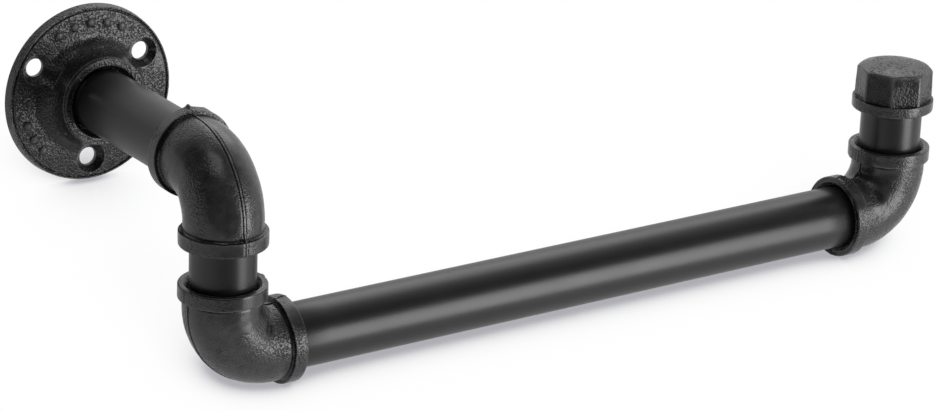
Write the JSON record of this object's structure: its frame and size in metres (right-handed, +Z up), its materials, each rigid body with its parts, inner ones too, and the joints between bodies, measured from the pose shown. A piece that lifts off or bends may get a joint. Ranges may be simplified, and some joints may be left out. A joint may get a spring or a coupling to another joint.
{
  "type": "toilet paper holder",
  "caption": "Wall-mounted toilet paper holder of black screwed pipe: round flange, drop elbow, long level bar and an upturned capped end that keeps the roll on.",
  "frame": {"origin": "centre of the wall flange's back face, on the wall plane y = 0", "axes": "+Z up, +X along the roll bar from the flange towards the capped end, -Y out of the wall towards the user"},
  "size_m": [0.3953, 0.129, 0.1301],
  "materials": {
    "cast_fittings": "black coated malleable iron casting, pebbled and semi-gloss",
    "coated_pipe": "smooth satin black coating on steel pipe"
  },
  "bodies": {
    "wall_flange": {"wall_flange": "cast_fittings"},
    "wall_nipple": {"wall_nipple": "coated_pipe"},
    "upper_elbow": {"upper_elbow": "cast_fittings"},
    "drop_nipple": {"drop_nipple": "coated_pipe"},
    "lower_elbow": {"lower_elbow": "cast_fittings"},
    "roll_bar": {"roll_bar": "coated_pipe"},
    "end_elbow": {"end_elbow": "cast_fittings"},
    "end_nipple": {"end_nipple": "coated_pipe"},
    "end_cap": {"end_cap": "cast_fittings"}
  },
  "joints": [
    {"name": "wall_swivel", "type": "hinge", "parent": "wall_flange", "child": "wall_nipple", "pos_m": [0, 0, 0], "axis": [0, -1, 0], "range_deg": [-90, 180]},
    {"name": "wall_thread", "type": "slide", "parent": "wall_nipple", "child": "upper_elbow", "axis": [0, -1, 0], "range_m": [-0.00046, 0.00091]},
    {"name": "drop_swivel", "type": "hinge", "parent": "upper_elbow", "child": "drop_nipple", "pos_m": [0, -0.111, 0], "axis": [0, 0, -1], "range_deg": [-15, 195]},
    {"name": "drop_thread", "type": "slide", "parent": "drop_nipple", "child": "lower_elbow", "axis": [0, 0, -1], "range_m": [-0.00008, 0.00099]},
    {"name": "bar_swivel", "type": "hinge", "parent": "lower_elbow", "child": "roll_bar", "pos_m": [0, -0.111, -0.0748], "axis": [1, 0, 0], "range_deg": [-90, 180]},
    {"name": "bar_thread", "type": "slide", "parent": "roll_bar", "child": "end_elbow", "axis": [1, 0, 0], "range_m": [-0.00046, 0.00091]},
    {"name": "cap_turn", "type": "hinge", "parent": "end_elbow", "child": "end_nipple", "pos_m": [0.34, -0.111, -0.0748], "axis": [0, 0, 1], "range_deg": [0, 2520]},
    {"name": "cap_thread", "type": "slide", "parent": "end_nipple", "child": "end_cap", "axis": [0, 0, 1], "range_m": [0, 0.01271]}
  ],
  "couplings": [
    {"joint": "wall_thread", "follows": "wall_swivel", "m_per_rad": 0.00028871},
    {"joint": "drop_thread", "follows": "drop_swivel", "m_per_rad": 0.00028871},
    {"joint": "bar_thread", "follows": "bar_swivel", "m_per_rad": 0.00028871},
    {"joint": "cap_thread", "follows": "cap_turn", "m_per_rad": 0.00028871}
  ]
}
